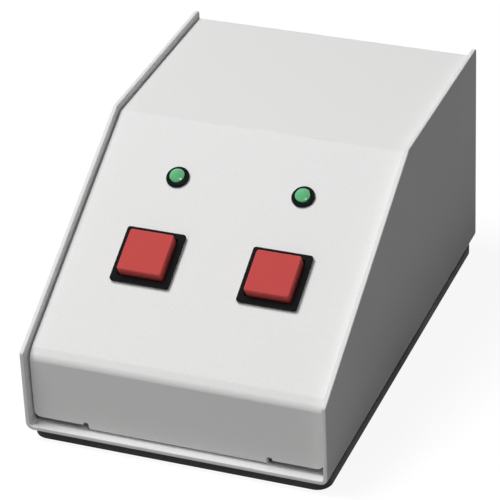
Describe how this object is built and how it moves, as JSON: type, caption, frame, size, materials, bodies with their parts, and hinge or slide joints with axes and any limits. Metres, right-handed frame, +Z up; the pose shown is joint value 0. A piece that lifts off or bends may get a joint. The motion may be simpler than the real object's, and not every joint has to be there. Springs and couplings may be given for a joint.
{
  "type": "switch console",
  "caption": "Sloped desk console of folded steel with spring-return square push buttons, indicator lamps over them, a rear cable entry and a rubber base pad.",
  "frame": {"origin": "under the middle of the whole console, on the surface it stands on; the grommet at the back counts in its depth", "axes": "+X to the right seen from the front, +Y to the back, +Z up; the front with the buttons faces -Y"},
  "size_m": [0.1016, 0.1568, 0.0781],
  "materials": {
    "powder_coat": "light grey eggshell powder coat",
    "black_rubber": "matt black rubber",
    "black_plastic": "black moulded plastic, fine satin",
    "red_plastic": "red moulded plastic, satin",
    "ivory_plastic": "ivory moulded plastic",
    "green_lens": "green tinted lens, polished",
    "zinc_steel": "zinc plated steel",
    "tinned_brass": "tinned brass"
  },
  "bodies": {
    "root": {"base_pad": "black_rubber", "base_chassis": "powder_coat", "cover": "powder_coat", "cable_grommet": "black_rubber", "cover_screw_front_left": "zinc_steel", "clinch_nut_front_left": "zinc_steel", "cover_screw_front_right": "zinc_steel", "clinch_nut_front_right": "zinc_steel", "cover_screw_back_left": "zinc_steel", "clinch_nut_back_left": "zinc_steel", "cover_screw_back_right": "zinc_steel", "clinch_nut_back_right": "zinc_steel", "left_button_bezel": "black_plastic", "left_return_spring": "zinc_steel", "left_contact_block": "black_plastic", "left_switch_terminal_a": "tinned_brass", "left_switch_terminal_b": "tinned_brass", "left_panel_clip": "zinc_steel", "left_lamp_bezel": "black_plastic", "left_lamp_lens": "green_lens", "left_lamp_led": "green_lens", "left_lamp_lead_a": "tinned_brass", "left_lamp_lead_b": "tinned_brass", "left_lamp_collar": "black_plastic", "right_button_bezel": "black_plastic", "right_return_spring": "zinc_steel", "right_contact_block": "black_plastic", "right_switch_terminal_a": "tinned_brass", "right_switch_terminal_b": "tinned_brass", "right_panel_clip": "zinc_steel", "right_lamp_bezel": "black_plastic", "right_lamp_lens": "green_lens", "right_lamp_led": "green_lens", "right_lamp_lead_a": "tinned_brass", "right_lamp_lead_b": "tinned_brass", "right_lamp_collar": "black_plastic", "terminal_strip": "black_plastic", "terminal_link_1": "tinned_brass", "terminal_screw_front_1": "zinc_steel", "terminal_screw_back_1": "zinc_steel", "terminal_link_2": "tinned_brass", "terminal_screw_front_2": "zinc_steel", "terminal_screw_back_2": "zinc_steel", "terminal_link_3": "tinned_brass", "terminal_screw_front_3": "zinc_steel", "terminal_screw_back_3": "zinc_steel", "terminal_link_4": "tinned_brass", "terminal_screw_front_4": "zinc_steel", "terminal_screw_back_4": "zinc_steel", "strip_screw_left": "zinc_steel", "strip_screw_right": "zinc_steel"},
    "left_button": {"left_button_cap": "red_plastic", "left_button_plunger": "ivory_plastic"},
    "right_button": {"right_button_cap": "red_plastic", "right_button_plunger": "ivory_plastic"}
  },
  "joints": [
    {"name": "left_button_press", "type": "slide", "parent": "root", "child": "left_button", "axis": [0, 0.4822, -0.8761], "range_m": [0, 0.0025], "stiffness_N_per_m": 600, "springref_m": -0.0005, "deforming": ["left_return_spring"]},
    {"name": "right_button_press", "type": "slide", "parent": "root", "child": "right_button", "axis": [0, 0.4822, -0.8761], "range_m": [0, 0.0025], "stiffness_N_per_m": 600, "springref_m": -0.0005, "deforming": ["right_return_spring"]}
  ]
}
